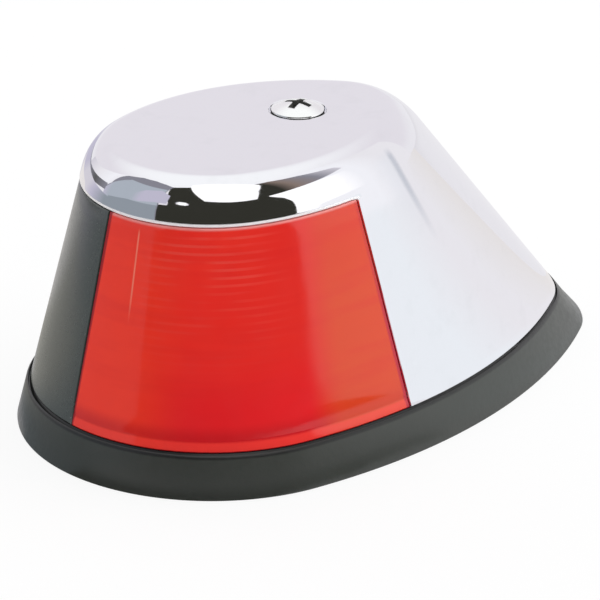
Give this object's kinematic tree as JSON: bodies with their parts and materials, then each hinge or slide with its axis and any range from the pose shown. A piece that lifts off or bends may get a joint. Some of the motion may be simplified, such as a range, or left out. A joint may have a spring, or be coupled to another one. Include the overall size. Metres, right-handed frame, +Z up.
{
  "type": "navigation light",
  "caption": "Port sidelight for a boat deck: chrome cover with a sloping tail over a red lens and a black screen, on a black rubber foot gasket.",
  "frame": {"origin": "middle of the foot gasket's underside, where the light stands on the deck", "axes": "+X towards the bow, +Y to port, +Z up"},
  "size_m": [0.1018, 0.0616, 0.0458],
  "materials": {
    "black_rubber": "moulded black rubber, slightly dusty, matt",
    "white_plastic": "white moulded plastic with a fine grain",
    "brass": "plain brass strip and turned brass",
    "chrome_plate": "polished chrome plate over a casting",
    "red_acrylic": "clear red moulded acrylic, polished outside",
    "black_plastic": "matt black moulded plastic",
    "stainless": "bright stainless steel",
    "clear_glass": "clear blown glass",
    "nickel_plate": "nickel-plated brass cap",
    "filament_wire": "drawn wire"
  },
  "bodies": {
    "base": {"base_gasket": "black_rubber", "base_plate": "white_plastic", "cover_seal": "black_rubber", "screw_insert": "brass", "upper_clip": "brass", "lower_clip": "brass", "clip_rivets": "brass", "terminal_screws": "brass", "wire_grommet": "black_rubber"},
    "cover": {"top_cover": "chrome_plate", "red_lens": "red_acrylic", "blanking_screen": "black_plastic", "lens_seal": "black_rubber", "nose_strip": "black_rubber", "lens_retainer": "brass"},
    "screw_carrier": {"screw_seal": "black_rubber", "screw_retainer": "stainless"},
    "screw": {"cover_screw": "stainless"},
    "bulb": {"bulb_glass": "clear_glass", "bulb_cap_upper": "nickel_plate", "bulb_cap_lower": "nickel_plate", "bulb_filament": "filament_wire", "filament_supports": "filament_wire"}
  },
  "joints": [
    {"name": "cover_lift", "type": "slide", "parent": "base", "child": "cover", "axis": [0, 0, 1], "range_m": [0, 0.045]},
    {"name": "screw_rise", "type": "slide", "parent": "cover", "child": "screw_carrier", "axis": [0, 0, 1], "range_m": [0, 0.00595]},
    {"name": "screw_turn", "type": "hinge", "parent": "screw_carrier", "child": "screw", "pos_m": [0.0044, 0, 0.045], "axis": [0, 0, 1], "range_deg": [0, 2700]},
    {"name": "bulb_out", "type": "slide", "parent": "base", "child": "bulb", "axis": [1, 0, 0], "range_m": [0, 0.011]}
  ],
  "couplings": [
    {"joint": "screw_turn", "follows": "screw_rise", "rad_per_m": 7915.8}
  ]
}
